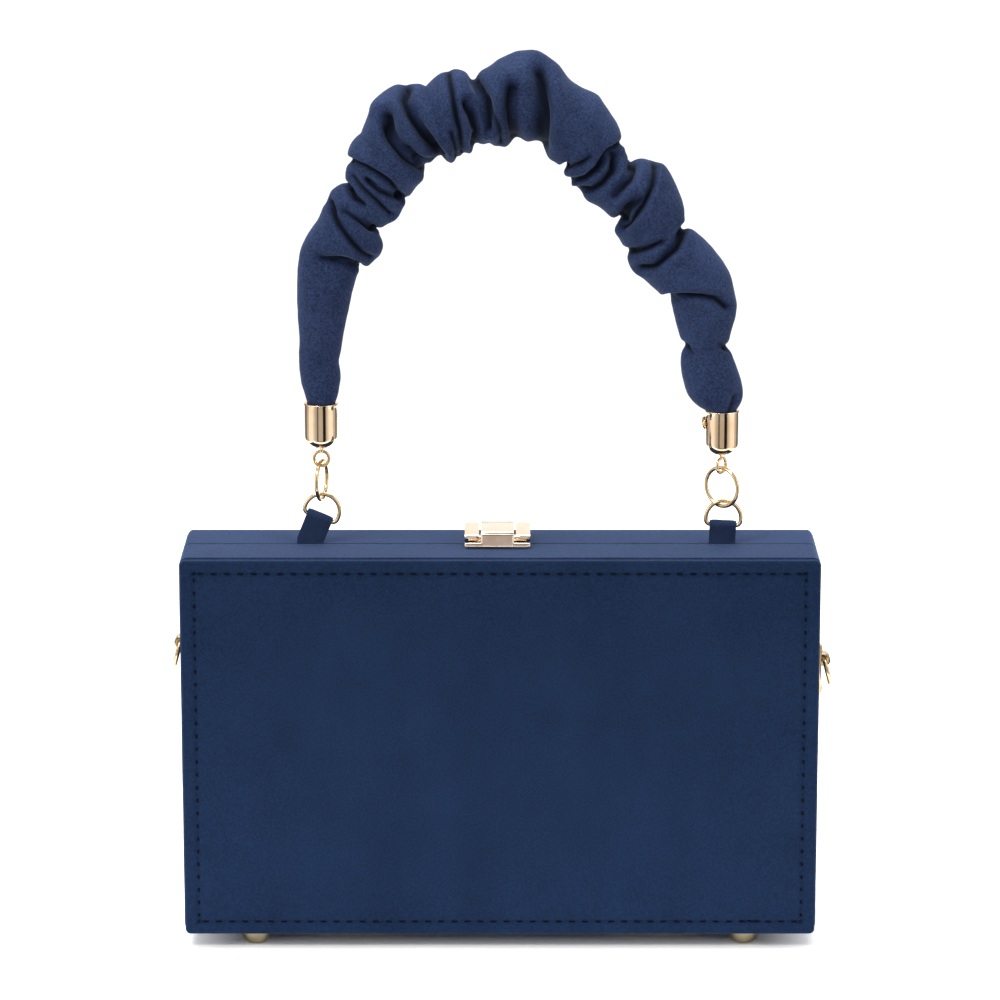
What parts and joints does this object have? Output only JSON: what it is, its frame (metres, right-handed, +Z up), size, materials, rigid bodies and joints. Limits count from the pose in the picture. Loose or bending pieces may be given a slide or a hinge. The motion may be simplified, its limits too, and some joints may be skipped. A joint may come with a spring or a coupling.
{
  "type": "clutch purse",
  "caption": "Hard-shell box clutch purse in navy faux suede, hinged at the bottom, with a press clasp, a ruched handle on metal links and side strap rings.",
  "frame": {"origin": "on the resting plane, under the middle of the closed case", "axes": "+Z up, +X to the right as seen from the front, the front panel faces -Y"},
  "size_m": [0.2092, 0.042, 0.2828],
  "materials": {
    "board": "grey board",
    "suede": "faux suede, soft nap",
    "suede_panel": "padded faux suede, stitched edge",
    "suede_tab": "folded faux suede",
    "suede_sleeve": "ruched faux suede",
    "lining": "woven satin lining",
    "gold": "pale gold, plated",
    "foot_gold": "polished pale gold",
    "clasp_gold": "polished rose gold",
    "clasp_lever_gold": "polished rose gold with a brushed face",
    "ring_gold": "polished gold wire",
    "cap_gold": "polished pale rose gold",
    "clip_gold": "polished pale gold",
    "spring_steel": "spring steel",
    "cord": "twisted cotton cord"
  },
  "bodies": {
    "back_case": {"back_tray": "board", "back_cover": "suede", "back_panel_card": "board", "back_panel": "suede_panel", "back_lining": "lining", "back_hinge_leaves": "gold", "hinge_pins": "gold", "back_hinge_screws": "gold", "back_feet": "foot_gold", "clasp_base": "clasp_gold", "clasp_rivets": "clasp_gold", "clasp_pin": "clasp_gold", "clasp_spring": "spring_steel", "left_tab_anchor": "suede_tab", "right_tab_anchor": "suede_tab", "left_clip": "clip_gold", "left_clip_rivets": "clip_gold"},
    "front_case": {"front_tray": "board", "front_cover": "suede", "front_panel_card": "board", "front_panel": "suede_panel", "front_lining": "lining", "front_hinge_leaves": "gold", "front_hinge_screws": "gold", "front_feet": "foot_gold", "clasp_catch": "clasp_gold", "right_clip": "clip_gold", "right_clip_rivets": "clip_gold"},
    "clasp_lever": {"clasp_lever": "clasp_lever_gold"},
    "left_tab_ring": {"left_tab": "suede_tab", "left_dring": "ring_gold"},
    "right_tab_ring": {"right_tab": "suede_tab", "right_dring": "ring_gold"},
    "left_link": {"left_link": "ring_gold"},
    "right_link": {"right_link": "ring_gold"},
    "handle": {"left_eye": "ring_gold", "right_eye": "ring_gold", "left_cap": "cap_gold", "right_cap": "cap_gold", "left_set_screw": "cap_gold", "right_set_screw": "cap_gold", "handle_core": "cord", "handle_sleeve": "suede_sleeve"},
    "left_side_ring": {"left_side_ring": "clip_gold"},
    "right_side_ring": {"right_side_ring": "clip_gold"}
  },
  "joints": [
    {"name": "case_opening", "type": "hinge", "parent": "back_case", "child": "front_case", "pos_m": [0, 0, 0.0033], "axis": [1, 0, 0], "range_deg": [0, 90]},
    {"name": "clasp_press", "type": "hinge", "parent": "back_case", "child": "clasp_lever", "pos_m": [-0.0008, -0.0032, 0.12955], "axis": [-1, 0, 0], "range_deg": [0, 14], "stiffness_Nm_per_rad": 0.02, "springref_deg": -5.73, "deforming": ["clasp_spring"]},
    {"name": "handle_lean", "type": "hinge", "parent": "back_case", "child": "left_tab_ring", "pos_m": [-0.056, 0.0011, 0.1278], "axis": [1, 0, 0], "range_deg": [-50, 50]},
    {"name": "handle_lean_right", "type": "hinge", "parent": "back_case", "child": "right_tab_ring", "pos_m": [0.0703, 0.0011, 0.1278], "axis": [1, 0, 0], "range_deg": [-50, 50]},
    {"name": "link_swing", "type": "hinge", "parent": "left_tab_ring", "child": "left_link", "pos_m": [-0.056, 0.0011, 0.14181], "axis": [0.9998, 0, -0.0178], "range_deg": [-34, 34]},
    {"name": "link_swing_right", "type": "hinge", "parent": "right_tab_ring", "child": "right_link", "pos_m": [0.07, 0.0011, 0.13958], "axis": [0.9998, 0, -0.0178], "range_deg": [-34, 34]},
    {"name": "handle_swing", "type": "hinge", "parent": "left_link", "child": "handle", "pos_m": [-0.056, 0.0011, 0.15246], "axis": [0.9998, 0, -0.0178], "range_deg": [-40, 40]},
    {"name": "left_side_ring_swing", "type": "hinge", "parent": "back_case", "child": "left_side_ring", "pos_m": [-0.1019, 0.0104, 0.0923], "axis": [0, 1, 0], "range_deg": [-8, 140]},
    {"name": "right_side_ring_swing", "type": "hinge", "parent": "front_case", "child": "right_side_ring", "pos_m": [0.1019, -0.0104, 0.0923], "axis": [0, -1, 0], "range_deg": [-8, 140]}
  ],
  "couplings": [
    {"joint": "handle_lean_right", "follows": "handle_lean", "ratio": 1},
    {"joint": "link_swing_right", "follows": "link_swing", "ratio": 1}
  ]
}
